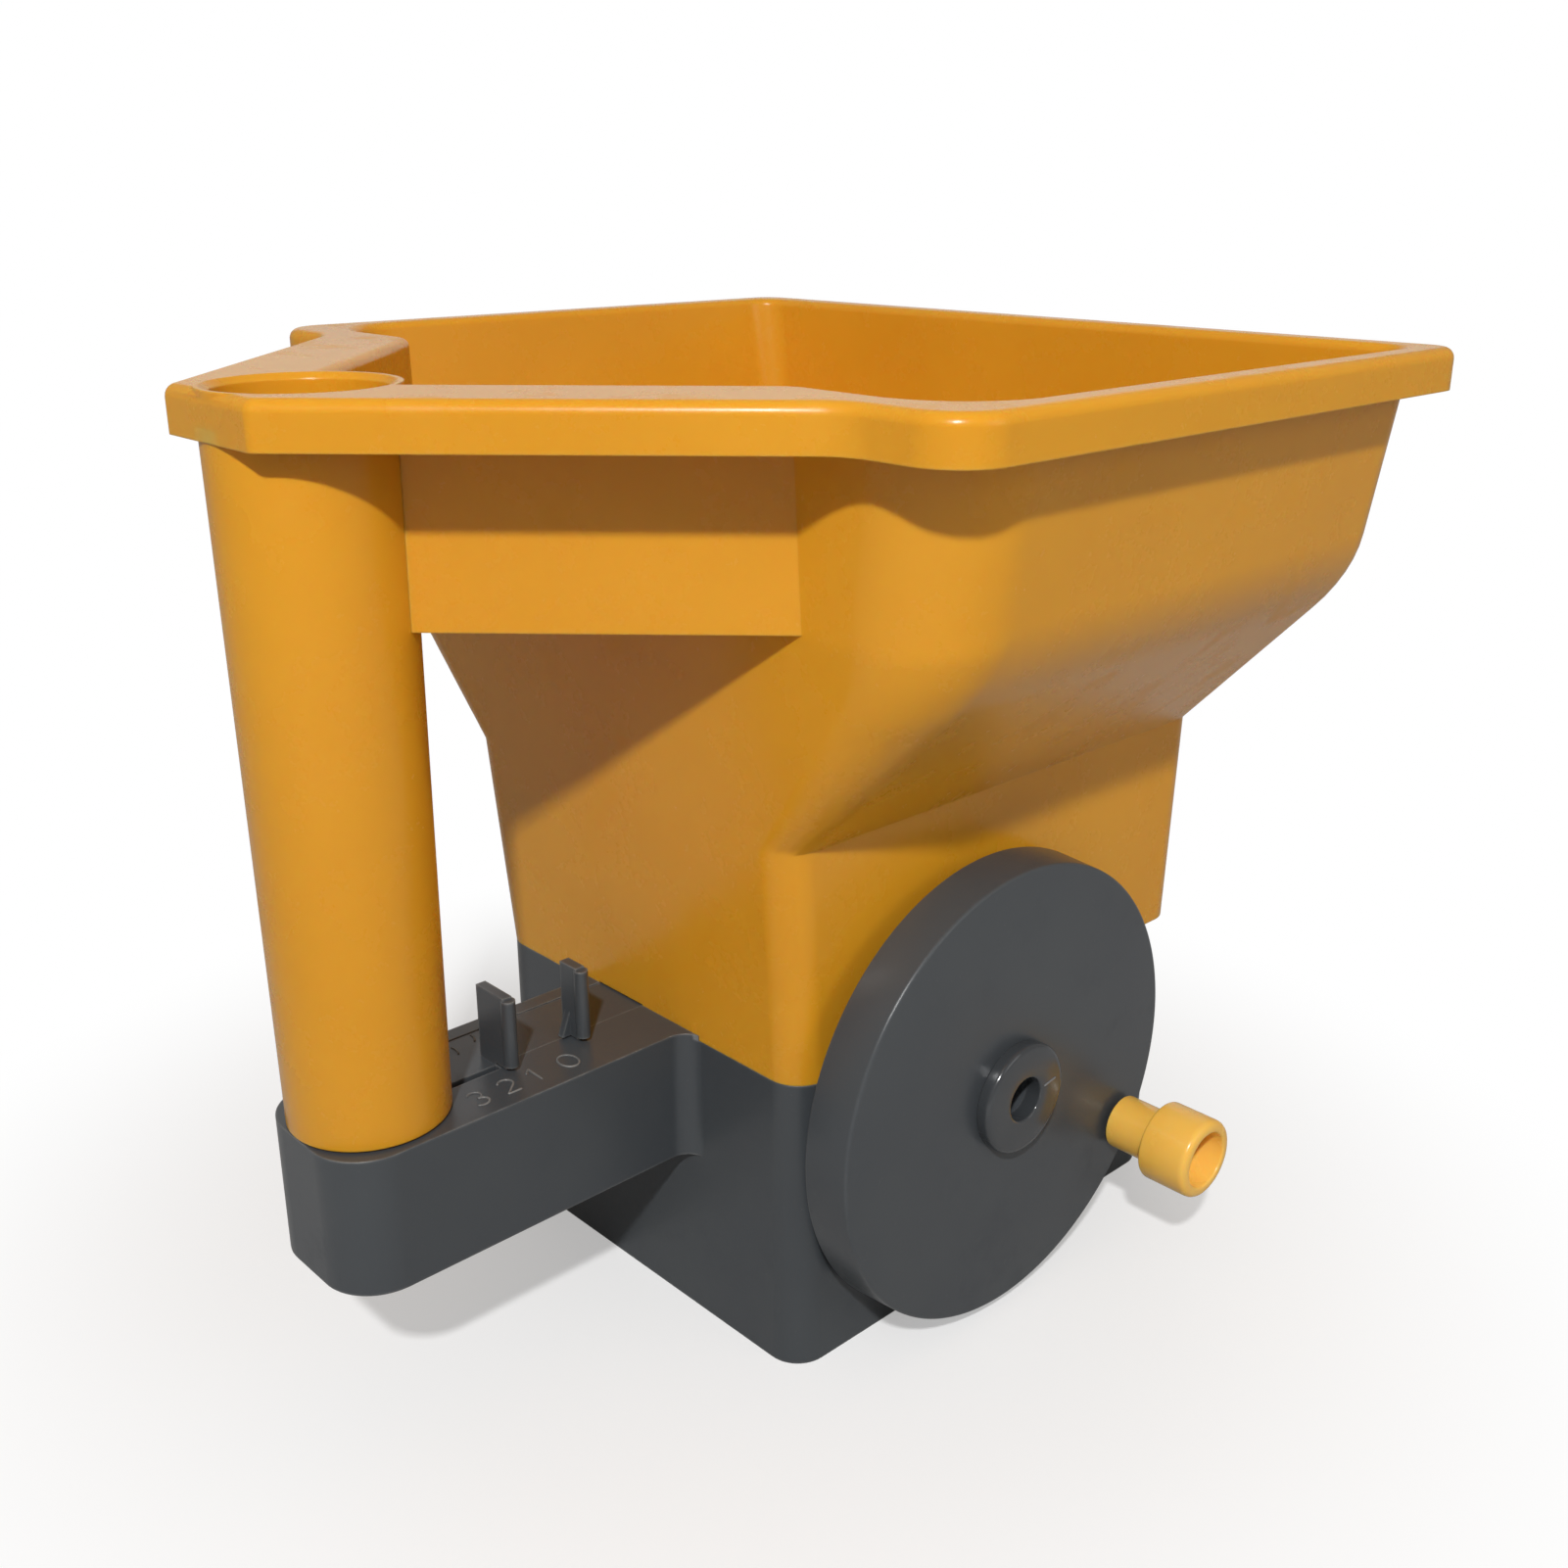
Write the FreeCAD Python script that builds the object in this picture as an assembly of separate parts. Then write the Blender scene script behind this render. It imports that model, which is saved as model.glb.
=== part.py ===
"""Hand-cranked spreader: a hopper and grip on a geared spinner base.

Units are millimetres.  X points forward, the way the seed is thrown, Y to the
left and Z up.  The base stands on z = 0, and the hopper's rim is centred on the
origin seen from above.
"""
import math
import os

import FreeCAD
import Part

# moulding
wall = 2.5                      # wall thickness throughout
slack = 0.05                    # radial running fit of every turning pair
slideGap = 0.2                  # clearance round the sliding bar
over = 1.0                      # how far a cutter runs past the face it cuts
sharp = 0.5                     # radius of a crisp corner

# rim and deck
topZ = 235.5
lipHeight = 9.5                 # depth of the lip round the rim
rimHalfLength = 124.4
rimHalfWidth = 117.7
rimEndHalf = 16.5               # half width of the deck's rear end
kneeDrop = 26.8                 # the slanted side meets the rim this far in
rimBehind = 8.0                 # rim's rear edge behind the rear wall
rimCorner = 12.0
rimFrontCorner = 8.0
kneeBend = 14.0
deckCorner = 3.0
rimRound = 2.6                  # rounded top edge, outside
rimInner = 2.2                  # and inside, round the mouth of the hopper

# hopper
upperWall = 43.8                # from the lip down to the shoulder
slopeDrop = 46.7                # from the shoulder down to the hip
shoulderBlend = 10.0            # half height of the soft shoulder
shoulderSteps = 6
sideInset = 7.4                 # lip wall stands in from the rim's edge
shoulderInset = 6.7             # and the shoulder from that
hipGrow = 1.2                   # lower box widens by this up to the hip
frontInset = 6.4
frontLean = 0.5                 # front wall leans out above the hip
hipLean = 1.0                   # and below it
hipBack = 5.0                   # rear wall leans back up to the hip
shoulderBack = 5.6              # then up to the shoulder
lipBack = 1.6                   # then up to the rim
rearCorner = 22.0               # upright corner radii of the upper hopper
frontCorner = 10.0
webDepth = 38.0                 # hollow web behind the hopper, below the lip
webInset = 21.6                 # web's face in from the deck's slanted edge
webRoot = 4.0                   # web starts this far ahead of the grip's axis
channelBend = 9.0
channelFlare = 12.5

# base housing
seamZ = 77.0                    # where hopper and base meet
baseRear = -30.0                # outer face of the rear wall
baseHalf = 58.0                 # half the width outside
baseDraft = 4.0                 # front wall leans in by this at the floor
boxRadius = 8.5                 # upright corners of base and lower hopper
windowDepth = 18.5              # throwing opening, back from the front wall
windowLow = 30.0                # its sill

# grip tube
gripIn = 19.5                   # axis in from the deck's rear end
gripTop = 19.3                  # outer radius at the top
gripFoot = 17.9                 # outer radius on the arm
gripWall = 2.3
gripDrop = 7.0                  # tube ends inside the deck, below its face
mouthRadius = 18.4              # eased mouth in the deck's face
mouthDepth = 1.2
spigotTall = 8.0                # the arm's spigot inside the tube
spigotWall = 2.5

# arm
armEndIn = 1.9                  # arm's end in from the deck's rear end
armHalf = 19.6
armLow = 45.0
armTop = 78.4
armRadius = 13.0
armFlare = 5.5
armRoof = 3.4                   # thickness of the arm's top

# outlet, gate and slider
funnelDrop = 6.5                # the floor's slopes start this far below the hip
floorDrop = 3.4                 # upright thickness of the sloping floor
floorBite = 1.2                 # the floor is sunk into the walls by this
outletRear = 46.0
outletFront = 70.0
outletHalf = 18.0
outletZ = 84.0
spoutGap = 0.6                  # under the outlet's spout, above the gate
barThick = 1.6
barIn = 16.9                    # bar's rear end ahead of the grip's axis
barNear = -2.0                  # the bar's two edges across the arm
barFar = 15.0
gateHalf = 21.0
gateRearLap = 4.0               # the shut gate laps the outlet by these
gateFrontLap = 3.0
nowAt = 11.8                    # the slider's travel from shut to this pose
fullAt = 24.1                   # travel from shut to fully open
slotIn = 12.9                   # slit beside the bar, ahead of the grip's axis
slotFront = -73.5
slotWide = 2.4
railGap = 0.6                   # beside the gate
railWall = 2.5
railLip = 1.3
railBack = 30.0                 # rails run behind and ahead of the outlet
railAhead = 6.0
railTall = 16.0
tabX = (-72.0, -51.5)           # finger tabs
tabFar = (4.2, -0.3)
tabTop = (96.8, 97.5)
tabNear = -6.5
tabHalf = 1.3
tabGap = 0.5                    # tabs clear the arm's top by this
pillarRadius = 1.7
pillarY = -6.8
pillarGap = 1.2
gussetLong = 2.4
gussetTall = 6.5
gussetY = (-3.4, -1.6)

# crank
axisX = 25.8                    # crank and spinner axes cross over this x
axisZ = 62.3
discGap = 6.0                   # between the base's wall and the disc
discThick = 12.2
discRadius = 58.4
discFlare = 0.8                 # the inner rim is larger by this
discSkin = 3.0
discEdge = 1.2
hubRadius = 10.0
bossRadius = 14.2
bossProud = 3.6
bossEdge = 1.5
bossHole = 5.7
bossDeep = 6.0
collarRadius = 9.5              # bearing boss on the base's wall
collarGap = 0.6
collarDeep = 12.0
shaftRadius = 4.0
knobX = 70.2
knobZ = 37.0
stemLength = 13.8
headLength = 13.8
knobRadius = 10.5
knobHole = 7.45
knobRound = 2.0
knobBevel = 0.8
stemRadius = 7.1
stemGap = 0.6                   # between the disc and the knob's stem
pinRadius = 3.0
pinHead = 3.0
pinSeat = 6.5
knobFloor = 4.0                 # hollow of the knob ends this far from the neck
pinEnd = 2.0

# gears
module = 0.875
crownTeeth = 26
pinionTeeth = 8
crownBack = -10.5               # rear face of the crown gear's plate
shaftEnd = -8.0
crownFace = 1.5                 # half width of the toothed ring
rootDeep = 1.1
toothTall = 1.9
toothSink = 0.2
toothHalf = 0.45
tipTall = 0.65
pinionHalf = 3.5                # half length of the pinion

# spinner and its bearing
spinnerRadius = 46.0
spinnerZ = 30.5
spinnerThick = 2.0
vaneTop = 42.0
vaneHalf = 1.2
vaneRoot = 5.0
vaneCount = 4
spinnerHub = 8.0
hubDrop = 2.0
hubRise = 1.5
axleRadius = 2.5
bearingLow = 56.0
bearingTop = 68.0
bearingHalf = 6.0
bearingBack = -2.4
bearingFront = 9.0
ribHalf = 3.0
ribLow = 52.0
footHalf = 14.0
footThick = 3.0
footLow = 40.0
footTop = 72.0

# places that follow from these
lipZ = topZ - lipHeight
shoulderZ = lipZ - upperWall
hipZ = shoulderZ - slopeDrop
funnelZ = hipZ - funnelDrop
webZ = lipZ - webDepth
lipHalf = rimHalfWidth - sideInset
shoulderHalf = lipHalf - shoulderInset
hipHalf = baseHalf + hipGrow
frontLip = rimHalfLength - frontInset
frontHip = frontLip - frontLean
baseFront = frontHip - hipLean
rearHip = baseRear - hipBack
rearShoulder = rearHip - shoulderBack
rearTop = rearShoulder - lipBack
rimRear = rearTop - rimBehind
kneeHalf = rimHalfWidth - kneeDrop
gripX = gripIn - rimHalfLength
gripZ = topZ - gripDrop
armEnd = armEndIn - rimHalfLength
barRear = gripX + barIn
barTop = armTop - slideGap
barLow = barTop - barThick
discFar = -baseHalf - discGap
discNear = discFar - discThick
stemStart = discNear - stemGap
knobNeck = discNear - stemLength
knobEnd = knobNeck - headLength
crownPitch = module * crownTeeth / 2
pinionPitch = module * pinionTeeth / 2
meshZ = axisZ - crownPitch


# shapes that every maker uses
def vec(x, y, z=0.0):
    return FreeCAD.Vector(x, y, z)


def box(x0, x1, y0, y1, z0, z1):
    return Part.makeBox(x1 - x0, y1 - y0, z1 - z0, vec(x0, y0, z0))


def rod(radius, start, end):
    """A round bar between two points."""
    run = end - start
    return Part.makeCylinder(radius, run.Length, start, run)


def cone(radiusA, radiusB, start, end):
    run = end - start
    return Part.makeCone(radiusA, radiusB, run.Length, start, run)


def lerp(a, b, t):
    return a + (b - a) * t


def along(knots, z):
    """Value at a height on a line through (height, value) knots."""
    for (z0, v0), (z1, v1) in zip(knots, knots[1:]):
        if z <= z1 or z1 == knots[-1][0]:
            return lerp(v0, v1, (z - z0) / (z1 - z0))


def mirrored(half):
    """A loop from the points of its far half, ordered from rear to front."""
    return [(x, -y) for x, y in half] + [(x, y) for x, y in reversed(half)]


def polygon(points, z):
    return Part.makePolygon([vec(x, y, z) for x, y in points + points[:1]])


def roundedPath(points, radii, z):
    """A closed wire through the points, each corner rounded by its radius."""
    count = len(points)
    ends = []
    for i in range(count):
        here = vec(*points[i], z)
        back = (vec(*points[i - 1], z) - here).normalize()
        ahead = (vec(*points[(i + 1) % count], z) - here).normalize()
        half = back.getAngle(ahead) / 2
        cut = radii[i] / math.tan(half)
        toCentre = (back + ahead).normalize() * (radii[i] / math.sin(half))
        centre = here + toCentre
        middle = centre - (toCentre.normalize() * radii[i])
        ends.append((here + back * cut, middle, here + ahead * cut))
    edges = []
    for i in range(count):
        start, middle, stop = ends[i]
        edges.append(Part.Arc(start, middle, stop).toShape())
        edges.append(Part.makeLine(stop, ends[(i + 1) % count][0]))
    return Part.Wire(edges)


def roundedBox(x0, x1, half, z, rearR, frontR):
    """A rectangle centred on y = 0 with its own rear and front radii."""
    return roundedPath(mirrored([(x0, half), (x1, half)]), [rearR, frontR, frontR, rearR], z)


def prism(wire, height):
    return Part.Face(wire).extrude(vec(0, 0, height))


def loft(wires):
    return Part.makeLoft(wires, True, True)


def fuse(shapes):
    return shapes[0].multiFuse(shapes[1:]).removeSplitter()


def edgesAbove(shape, z):
    return [e for e in shape.Edges if e.BoundBox.ZMin > z]


def edgesBefore(shape, y):
    return [e for e in shape.Edges if e.BoundBox.YMax < y]


# hopper
def rearAt(z):
    """Outer face of the hopper's rear wall at a height."""
    bend = shoulderZ + shoulderBlend / 2
    knots = [(seamZ, baseRear), (hipZ, rearHip), (bend, rearShoulder), (topZ, rearTop)]
    return along(knots, z)


def frontAt(z):
    return along([(seamZ, baseFront), (hipZ, frontHip), (lipZ, frontLip)], z)


def halfAt(z):
    """Outer half width at a height, with a soft shoulder."""
    slope = (shoulderHalf - hipHalf) / slopeDrop
    lean = shoulderInset / upperWall
    if z <= hipZ:
        return along([(seamZ, baseHalf), (hipZ, hipHalf)], z)
    if z <= shoulderZ - shoulderBlend:
        return hipHalf + slope * (z - hipZ)
    if z >= shoulderZ + shoulderBlend:
        return shoulderHalf + lean * (z - shoulderZ)
    t = (z - shoulderZ + shoulderBlend) / (2 * shoulderBlend)
    low = shoulderHalf - slope * shoulderBlend
    high = shoulderHalf + lean * shoulderBlend
    return (1 - t) ** 2 * low + 2 * t * (1 - t) * shoulderHalf + t ** 2 * high


def cornerAt(z, upper):
    """Upright corner radius, growing from the hip to the top of the shoulder."""
    t = (z - hipZ) / (shoulderZ + shoulderBlend - hipZ)
    return lerp(boxRadius, upper, min(max(t, 0.0), 1.0))


def hopperBody(inset):
    steps = range(shoulderSteps + 1)
    low = shoulderZ - shoulderBlend
    heights = [seamZ, hipZ] + [low + 2 * shoulderBlend * i / shoulderSteps for i in steps]
    wires = []
    for z in heights + [topZ]:
        rear = cornerAt(z, rearCorner) - inset
        front = cornerAt(z, frontCorner) - inset
        x0 = rearAt(z) + inset
        x1 = frontAt(z) - inset
        wires.append(roundedBox(x0, x1, halfAt(z) - inset, z, rear, front))
    return loft(wires)


def deckAt(x, inset):
    """Half width of the deck's slanted side, drawn in by an inset."""
    slope = (kneeHalf - rimEndHalf) / (rimRear + rimHalfLength)
    return rimEndHalf + (x + rimHalfLength) * slope - inset * math.hypot(1, slope)


def rimWire(inset, z):
    """Outline of the rim and deck seen from above, drawn in by an inset."""
    end = rimHalfLength - inset
    side = rimHalfWidth - inset
    rear = rimRear + inset
    half = [(-end, deckAt(-end, inset)), (rear, deckAt(rear, inset)), (rear, side), (end, side)]
    radii = [max(sharp, deckCorner - inset), kneeBend + inset, rimCorner - inset]
    radii.append(rimFrontCorner - inset)
    return roundedPath(mirrored(half), radii + radii[::-1], z)


def makeRim():
    """The lip all round, closed above by the deck."""
    plate = prism(rimWire(0.0, lipZ), lipHeight)
    room = prism(rimWire(wall, lipZ - over), lipHeight - wall + over)
    rim = plate.cut(room)
    return rim.makeFillet(rimRound, edgesAbove(rim, topZ - slack))


def webBlock():
    start = gripX + webRoot
    stop = rearAt(webZ) + wall
    half = [(start, deckAt(start, webInset)), (stop, deckAt(stop, webInset))]
    return prism(polygon(mirrored(half), webZ), topZ - wall / 2 - webZ)


def channelWire(z):
    """The web's hollow, open towards the hopper."""
    inset = webInset + wall
    start = gripX + webRoot / 2
    wallX = rearAt(z) + wall
    knee = deckAt(wallX, inset)
    half = [(start, deckAt(start, inset)), (wallX, knee), (wallX, knee + channelFlare)]
    half.append((wallX + 2 * wall, knee + channelFlare))
    radii = [sharp, channelBend, sharp, sharp]
    return roundedPath(mirrored(half), radii + radii[::-1], z)


def funnel(grow, drop):
    """Four slopes down to the outlet."""
    half = halfAt(funnelZ) - wall + grow
    rear = rearAt(funnelZ) + wall - grow
    front = frontAt(funnelZ) - wall + grow
    low = mirrored([(outletRear - grow, outletHalf + grow), (outletFront + grow, outletHalf + grow)])
    high = mirrored([(rear, half), (front, half)])
    return loft([polygon(low, outletZ - drop), polygon(high, funnelZ - drop)])


def hopperFloor():
    spout = box(outletRear - wall, outletFront + wall, -outletHalf - wall, outletHalf + wall,
                barTop + spoutGap, outletZ + over)
    hole = box(outletRear, outletFront, -outletHalf, outletHalf, barTop, outletZ)
    slopes = funnel(floorBite, floorDrop).common(hopperBody(wall - floorBite))
    return fuse([slopes, spout]).cut(funnel(0.0, 0.0)).cut(hole)


def gateRails():
    """Two channels under the floor that carry the gate's edges."""
    x0 = outletRear - railBack
    x1 = outletFront + railAhead
    low = barLow - slideGap - railLip
    inner = gateHalf - 2 * railGap - slideGap
    outer = gateHalf + railGap
    rails = []
    for side in (-1, 1):
        post = sorted((side * outer, side * (outer + railWall)))
        lip = sorted((side * inner, side * (outer + railGap)))
        rails.append(box(x0, x1, *post, low, outletZ + railTall))
        rails.append(box(x0, x1, *lip, low, barLow - slideGap))
    return rails


def gripOuter():
    return cone(gripFoot, gripTop, vec(gripX, 0, armTop), vec(gripX, 0, gripZ))


def gripMouth():
    """The flared mouth cut through the deck over the grip."""
    bore = rod(gripTop - gripWall, vec(gripX, 0, gripZ - over), vec(gripX, 0, topZ + over))
    edge = vec(gripX, 0, topZ - mouthDepth)
    return fuse([bore, cone(gripTop - gripWall, mouthRadius, edge, vec(gripX, 0, topZ + slack))])


def innerTop(body):
    """Edges of the hopper's mouth in the rim's top face."""
    face = [f for f in body.Faces if f.BoundBox.ZMin > topZ - slack]
    return [e for f in face for w in f.Wires if not w.isSame(f.OuterWire) for e in w.Edges]


def makeHopper():
    body = fuse([hopperBody(0.0), webBlock(), makeRim()])
    channel = loft([channelWire(webZ + wall), channelWire(topZ + over)])
    body = body.cut(hopperBody(wall)).cut(channel)
    body = body.makeFillet(rimInner, innerTop(body))
    inside = funnel(0.0, 0.0)
    slit = box(baseRear - hipBack, baseRear + 2 * wall, barNear - 2 * slideGap,
               barFar + 2 * slideGap, seamZ - over, barTop + 2 * slideGap)
    rails = [rail.cut(inside) for rail in gateRails()]
    collar = rod(gripTop, vec(gripX, 0, gripZ), vec(gripX, 0, topZ))
    body = fuse([body, hopperFloor().cut(slit), collar] + rails)
    return body.cut(slit).cut(gripOuter()).cut(gripMouth())


# grip
def makeGrip():
    low = vec(gripX, 0, armTop)
    high = vec(gripX, 0, gripZ)
    return gripOuter().cut(cone(gripFoot - gripWall, gripTop - gripWall, low, high))


# base
def boxSolid(inset, low, high):
    """The base's box with its leaning front, drawn in by an inset."""
    r = boxRadius - inset
    half = baseHalf - inset
    wires = []
    for z in (low, high):
        front = lerp(baseFront - baseDraft, baseFront, z / seamZ) - inset
        wires.append(roundedBox(baseRear + inset, front, half, z, r, r))
    return loft(wires)


def armSolid(inset, low, high):
    """The arm's plan with flared roots where it meets the base."""
    half = armHalf - inset
    flare = armFlare + inset
    wide = half + flare + over
    meet = baseRear + inset
    root = meet + 2 * over
    loop = mirrored([(armEnd + inset, half), (meet, half), (meet, wide), (root, wide)])
    radii = [armRadius - inset, flare, sharp, sharp]
    return prism(roundedPath(loop, radii + radii[::-1], low), high - low)


def barRecess():
    """Channel in the arm's top that the slider's bar runs in, and the tab's slit."""
    rear = barRear - (fullAt - nowAt) - over
    floor = barLow - slideGap
    run = box(rear, baseRear + 2 * wall, barNear - slideGap, barFar + slideGap, floor, armTop + over)
    slit = box(gripX + slotIn, slotFront, barNear - slotWide, barNear, floor, armTop + over)
    return fuse([run, slit])


def makeArm():
    """Carries the grip and guides the slider's bar."""
    arm = armSolid(0.0, armLow, armTop)
    keep = box(armEnd - over, baseRear, -baseHalf, baseHalf, armLow - over, armTop - armRoof)
    arm = arm.cut(armSolid(wall, armLow - over, armTop - armRoof).common(keep))
    room = box(rearAt(armTop), baseFront, -baseHalf, baseHalf, seamZ, armTop + over)
    top = vec(gripX, 0, armTop + spigotTall)
    spigot = rod(gripFoot - gripWall - slack, vec(gripX, 0, armTop - armRoof), top)
    bore = rod(gripFoot - gripWall - spigotWall, vec(gripX, 0, armLow), top + vec(0, 0, over))
    arm = arm.cut(boxSolid(0.0, 0.0, seamZ)).cut(room)
    return fuse([arm, spigot]).cut(bore).cut(barRecess())


def makeBase():
    shell = boxSolid(0.0, 0.0, seamZ).cut(boxSolid(wall, -over, seamZ + over))
    collarEnd = vec(axisX, discFar + collarGap, axisZ)
    inner = vec(axisX, collarDeep - baseHalf, axisZ)
    body = fuse([shell, rod(collarRadius, collarEnd, inner)])
    window = box(baseFront - windowDepth, baseFront + over, -baseHalf - over, baseHalf + over,
                 windowLow, seamZ + over)
    shaftHole = rod(shaftRadius + slack, collarEnd - vec(0, over, 0), inner + vec(0, over, 0))
    return body.cut(barRecess()).cut(window).cut(shaftHole)


def makeBracket():
    """Carries the spinner's axle above the pinion from the base's far wall."""
    room = baseHalf - wall
    rib = box(axisX - ribHalf, axisX + ribHalf, bearingFront - over, room, ribLow, bearingTop)
    block = box(axisX - bearingHalf, axisX + bearingHalf, bearingBack, bearingFront,
                bearingLow, bearingTop)
    foot = box(axisX - footHalf, axisX + footHalf, room - footThick, room, footLow, footTop)
    bore = rod(axleRadius + slack, vec(axisX, 0, bearingLow - over), vec(axisX, 0, bearingTop + over))
    return fuse([rib, block, foot]).cut(bore)


# slider
def fingerTab(x, far, top):
    low = armTop + tabGap
    plate = box(x - tabHalf, x + tabHalf, tabNear, far, low, top)
    foot = box(x - tabHalf, x + tabHalf, barNear, far, barLow, low)
    pillar = rod(pillarRadius, vec(x, pillarY, armTop + pillarGap), vec(x, pillarY, top - sharp))
    return fuse([plate, foot, pillar])


def gusset(x):
    """Small rib behind a tab."""
    low = armTop + tabGap
    corners = [(x, low), (x - gussetLong, low), (x, low + gussetTall)]
    wire = Part.makePolygon([vec(a, gussetY[0], c) for a, c in corners + corners[:1]])
    return Part.Face(wire).extrude(vec(0, gussetY[1] - gussetY[0], 0))


def makeSlider():
    rear = outletRear - gateRearLap - nowAt
    front = outletFront + gateFrontLap - nowAt
    bar = box(barRear, rear + over, barNear, barFar, barLow, barTop)
    gate = box(rear, front, -gateHalf, gateHalf, barLow, barTop)
    tabs = [fingerTab(*tab) for tab in zip(tabX, tabFar, tabTop)]
    return fuse([bar, gate, gusset(tabX[1] - tabHalf)] + tabs)


# crank
def makeDisc():
    near = vec(axisX, discNear, axisZ)
    far = vec(axisX, discFar, axisZ)
    back = vec(0, over, 0)
    disc = cone(discRadius + discFlare, discRadius, far, near)
    disc = disc.makeFillet(discEdge, edgesBefore(disc, discNear + slack))
    dish = rod(discRadius - discSkin, far + back, near + vec(0, discSkin, 0))
    hub = rod(hubRadius, far, near + back)
    seat = rod(pinSeat, vec(knobX, discFar - pinHead, knobZ), vec(knobX, discNear + over, knobZ))
    face = near - vec(0, bossProud, 0)
    boss = rod(bossRadius, near, face)
    boss = boss.makeFillet(bossEdge, edgesBefore(boss, discNear - bossProud + slack))
    hole = rod(bossHole, face - back, near + vec(0, bossDeep, 0))
    bore = rod(shaftRadius, near, far + back)
    pin = rod(pinRadius, vec(knobX, discNear - over, knobZ), vec(knobX, discFar, knobZ))
    return fuse([disc.cut(dish), hub, seat, boss]).cut(hole).cut(bore).cut(pin)


def makeShaft():
    return rod(shaftRadius, vec(axisX, discNear + bossDeep, axisZ), vec(axisX, shaftEnd, axisZ))


def makeCrown():
    """Face gear on the crank's shaft, its teeth towards the spinner's axle."""
    root = -pinionPitch - rootDeep
    rim = crownPitch + crownFace
    plate = rod(rim, vec(axisX, crownBack, axisZ), vec(axisX, root, axisZ))
    plate = plate.cut(rod(shaftRadius, vec(axisX, crownBack - over, axisZ), vec(axisX, shaftEnd, axisZ)))
    tooth = box(-toothHalf, toothHalf, root - toothSink, root + toothTall,
                -rim, crownFace - crownPitch)
    ring = rod(rim, vec(axisX, root - over, axisZ), vec(axisX, root + toothTall + over, axisZ))
    teeth = []
    for k in range(crownTeeth):
        one = tooth.copy()
        one.rotate(vec(0, 0, 0), vec(0, 1, 0), (k + 0.5) * 360.0 / crownTeeth)
        one.translate(vec(axisX, 0, axisZ))
        teeth.append(one.common(ring))
    return fuse([plate] + teeth)


def makePin():
    return rod(pinRadius, vec(knobX, discFar - pinHead, knobZ), vec(knobX, knobNeck - pinEnd, knobZ))


def makeKnob():
    neck = vec(knobX, knobNeck, knobZ)
    end = vec(knobX, knobEnd, knobZ)
    start = vec(knobX, stemStart, knobZ)
    back = vec(0, over, 0)
    head = rod(knobRadius, neck, end)
    head = head.makeFillet(knobRound, edgesBefore(head, knobEnd + slack))
    rear = [e for e in head.Edges if e.BoundBox.YMin > knobNeck - slack]
    head = head.makeChamfer(knobBevel, rear)
    hollow = rod(knobHole, end - back, neck - vec(0, knobFloor, 0))
    bore = rod(pinRadius + slack, start + back, neck - vec(0, pinEnd + over, 0))
    return fuse([rod(stemRadius, start, neck - back), head]).cut(hollow).cut(bore)


# spinner
def makeSpinner():
    top = spinnerZ + spinnerThick
    disc = rod(spinnerRadius, vec(axisX, 0, spinnerZ), vec(axisX, 0, top))
    shapes = [disc, rod(spinnerHub, vec(axisX, 0, spinnerZ - hubDrop), vec(axisX, 0, vaneTop))]
    for k in range(vaneCount):
        vane = box(vaneRoot, spinnerRadius - sharp, -vaneHalf, vaneHalf, top - over, vaneTop)
        vane.rotate(vec(0, 0, 0), vec(0, 0, 1), (k + 0.5) * 360.0 / vaneCount)
        vane.translate(vec(axisX, 0, 0))
        shapes.append(vane)
    return fuse(shapes).cut(rod(axleRadius, vec(axisX, 0, spinnerZ), vec(axisX, 0, vaneTop + over)))


def makeSpinnerShaft():
    shapes = [rod(axleRadius, vec(axisX, 0, spinnerZ), vec(axisX, 0, bearingTop + hubRise))]
    for k in range(pinionTeeth):
        tooth = box(axleRadius - over, pinionPitch + tipTall, -toothHalf, toothHalf,
                    meshZ - pinionHalf, meshZ + pinionHalf)
        tooth.rotate(vec(0, 0, 0), vec(0, 0, 1), k * 360.0 / pinionTeeth)
        tooth.translate(vec(axisX, 0, 0))
        shapes.append(tooth)
    return fuse(shapes)


makers = {
    "hopper": makeHopper,
    "grip_tube": makeGrip,
    "base_housing": makeBase,
    "base_arm": makeArm,
    "shaft_bracket": makeBracket,
    "dosing_slider": makeSlider,
    "crank_disc": makeDisc,
    "crank_shaft": makeShaft,
    "crown_gear": makeCrown,
    "knob_pin": makePin,
    "crank_knob": makeKnob,
    "spinner_disc": makeSpinner,
    "spinner_shaft": makeSpinnerShaft,
}

os.makedirs("parts", exist_ok=True)
for name, make in makers.items():
    shape = make()
    print(name, len(shape.Solids), shape.isValid(), round(shape.Volume / 1000, 2), "cm3")
    shape.exportStep("parts/" + name + ".step")
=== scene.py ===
import math

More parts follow.
